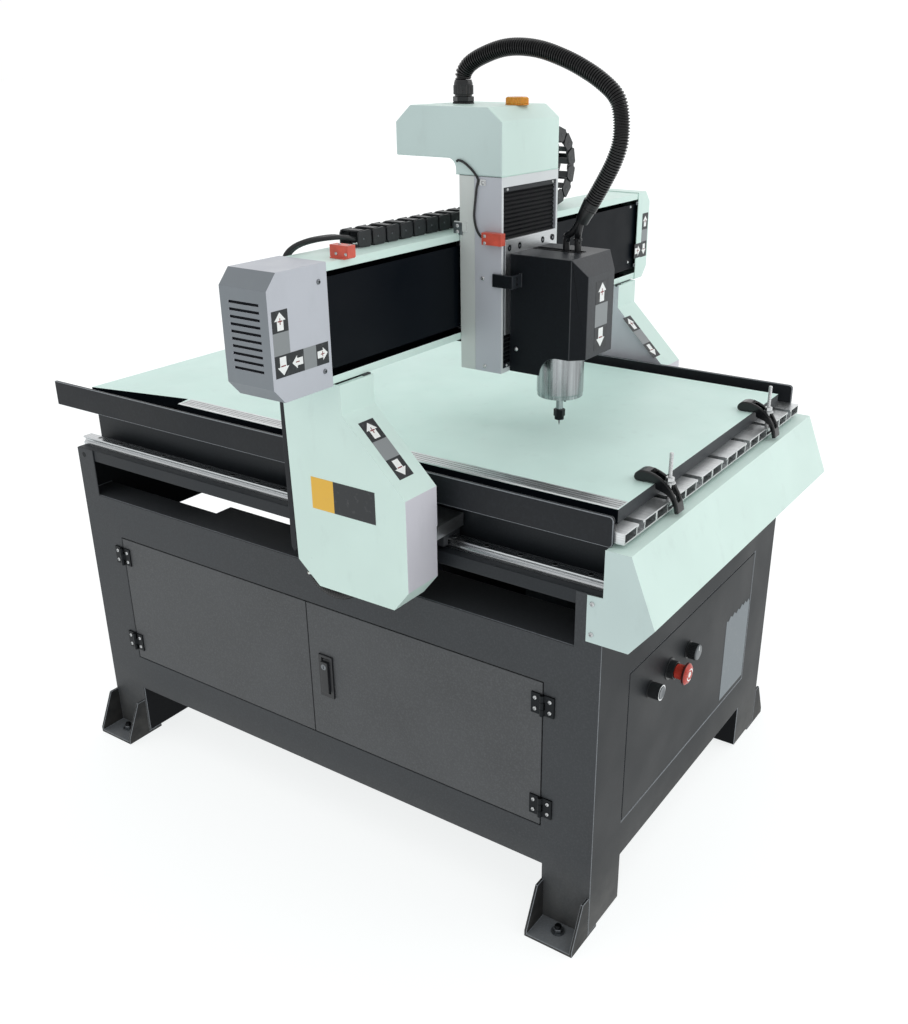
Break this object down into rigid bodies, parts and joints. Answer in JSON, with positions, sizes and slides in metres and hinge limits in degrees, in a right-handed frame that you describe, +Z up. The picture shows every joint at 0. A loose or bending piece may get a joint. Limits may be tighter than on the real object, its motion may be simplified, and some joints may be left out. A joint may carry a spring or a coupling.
{
  "type": "cnc engraving machine",
  "caption": "Gantry engraving machine on a sheet steel cabinet: slotted table with work board, moving gantry, cross carriage and liftable spindle.",
  "frame": {"origin": "middle of the whole machine's footprint, on the floor", "axes": "+Z up, front with the control panel towards -Y, side with the two doors towards -X, +X to the right seen from the front"},
  "size_m": [1.152, 1.327, 1.3972],
  "materials": {
    "frame_grey": "textured powder coat",
    "door_grey": "textured powder coat",
    "mint": "satin powder coat",
    "black_panel": "satin paint",
    "black_textured": "textured paint",
    "black_steel": "blackened steel",
    "dark_cast": "painted casting",
    "board": "matt sheet",
    "profile_alu": "mill finish",
    "machined_alu": "milled",
    "cast_alu": "cast and painted",
    "rail_steel": "ground",
    "screw_steel": "ground thread",
    "bright_zinc": "zinc plated",
    "spindle_steel": "turned",
    "carbide": "ground",
    "motor_black": "satin",
    "gear_grey": "satin",
    "black_plastic": "moulded",
    "chain_plastic": "moulded nylon",
    "red_plastic": "moulded",
    "switch_red": "moulded",
    "bellows_black": "coated fabric",
    "pale_grey": "sprayed enamel",
    "cable_black": "cable sheath",
    "hose_black": "corrugated",
    "amber": "clear amber"
  },
  "bodies": {
    "base": {"cabinet_sides": "frame_grey", "cabinet_shell": "frame_grey", "service_panel": "frame_grey", "feet": "dark_cast", "foot_bolts": "black_steel", "bed_frame": "black_steel", "y_rails": "rail_steel", "side_guards": "black_textured", "slot_table": "profile_alu", "work_board": "board", "front_cover": "mint", "clamp_arms": "black_steel", "clamp_bolts": "bright_zinc", "panel_fittings": "black_plastic", "hinge_frame_leaves": "black_steel", "control_gear": "gear_grey", "y_motor": "motor_black"},
    "button": {"button_cap": "black_plastic"},
    "estop": {"estop_head": "red_plastic"},
    "knob": {"speed_knob": "black_plastic"},
    "near_door": {"near_door": "door_grey", "latch_plate": "black_plastic"},
    "latch": {"latch_lever": "black_plastic"},
    "far_door": {"far_door": "door_grey"},
    "y_screw": {"y_screw": "screw_steel"},
    "gantry": {"column_covers": "mint", "column_backs": "black_steel", "gantry_legs": "cast_alu", "crossbar": "black_steel", "gantry_beam": "mint", "beam_panel": "black_panel", "end_cover_left": "pale_grey", "end_cover_right": "mint", "x_motor": "motor_black", "x_switch": "switch_red", "gantry_cables": "cable_black", "chain_lower": "chain_plastic"},
    "x_screw": {"x_screw": "screw_steel"},
    "chain_bend": {"chain_bend": "chain_plastic"},
    "x_carriage": {"x_saddle": "machined_alu", "z_frame": "pale_grey", "z_rear_cover": "pale_grey", "z_hood": "mint", "z_motor": "motor_black", "bellows_upper": "bellows_black", "bellows_lower": "bellows_black", "z_switch": "switch_red", "switch_cable": "cable_black", "hose_gland": "black_plastic", "spindle_hose": "hose_black", "beacon": "amber", "chain_upper": "chain_plastic"},
    "z_screw": {"z_screw": "screw_steel"},
    "z_carriage": {"z_plate": "machined_alu", "spindle_clamp": "machined_alu", "spindle_body": "spindle_steel", "spindle_cover": "black_textured"},
    "rotor": {"spindle_shaft": "spindle_steel", "collet_nut": "black_steel", "cutter": "carbide"}
  },
  "joints": [
    {"name": "gantry_travel", "type": "slide", "parent": "base", "child": "gantry", "axis": [0, 1, 0], "range_m": [-0.23, 0.67]},
    {"name": "y_screw_turn", "type": "hinge", "parent": "base", "child": "y_screw", "pos_m": [0.033, 0.0215, 0.598], "axis": [0, 1, 0], "continuous": true},
    {"name": "carriage_travel", "type": "slide", "parent": "gantry", "child": "x_carriage", "axis": [1, 0, 0], "range_m": [-0.225, 0.375], "deforming": ["chain_upper", "chain_lower"]},
    {"name": "x_screw_turn", "type": "hinge", "parent": "gantry", "child": "x_screw", "pos_m": [0.033, -0.1445, 1.0195], "axis": [1, 0, 0], "continuous": true},
    {"name": "chain_bend_travel", "type": "slide", "parent": "gantry", "child": "chain_bend", "axis": [1, 0, 0], "range_m": [-0.1125, 0.1875]},
    {"name": "spindle_lift", "type": "slide", "parent": "x_carriage", "child": "z_carriage", "axis": [0, 0, 1], "range_m": [-0.007, 0.042], "deforming": ["bellows_upper", "bellows_lower", "spindle_hose"]},
    {"name": "z_screw_turn", "type": "hinge", "parent": "x_carriage", "child": "z_screw", "pos_m": [-0.042, -0.2265, 1], "axis": [0, 0, 1], "continuous": true},
    {"name": "spindle_turn", "type": "hinge", "parent": "z_carriage", "child": "rotor", "pos_m": [-0.042, -0.3205, 0.83], "axis": [0, 0, 1], "continuous": true},
    {"name": "near_door_hinge", "type": "hinge", "parent": "base", "child": "near_door", "pos_m": [-0.3552, -0.4815, 0.335], "axis": [0, 0, 1], "range_deg": [0, 110]},
    {"name": "far_door_hinge", "type": "hinge", "parent": "base", "child": "far_door", "pos_m": [-0.3552, 0.5165, 0.335], "axis": [0, 0, -1], "range_deg": [0, 110]},
    {"name": "latch_lift", "type": "hinge", "parent": "near_door", "child": "latch", "pos_m": [-0.349, -0.0245, 0.364], "axis": [0, 1, 0], "range_deg": [0, 40], "stiffness_Nm_per_rad": 0.4, "springref_deg": -17.19},
    {"name": "button_push", "type": "slide", "parent": "base", "child": "button", "axis": [0, 1, 0], "range_m": [0, 0.003], "stiffness_N_per_m": 300, "springref_m": -0.004},
    {"name": "estop_push", "type": "slide", "parent": "base", "child": "estop", "axis": [0, 1, 0], "range_m": [0, 0.004]},
    {"name": "knob_turn", "type": "hinge", "parent": "base", "child": "knob", "pos_m": [-0.004, -0.5885, 0.396], "axis": [0, -1, 0], "range_deg": [-150, 150]}
  ],
  "couplings": [
    {"joint": "y_screw_turn", "follows": "gantry_travel", "rad_per_m": -628.32},
    {"joint": "x_screw_turn", "follows": "carriage_travel", "rad_per_m": -628.32},
    {"joint": "chain_bend_travel", "follows": "carriage_travel", "ratio": 0.5},
    {"joint": "z_screw_turn", "follows": "spindle_lift", "rad_per_m": -1256.6}
  ]
}
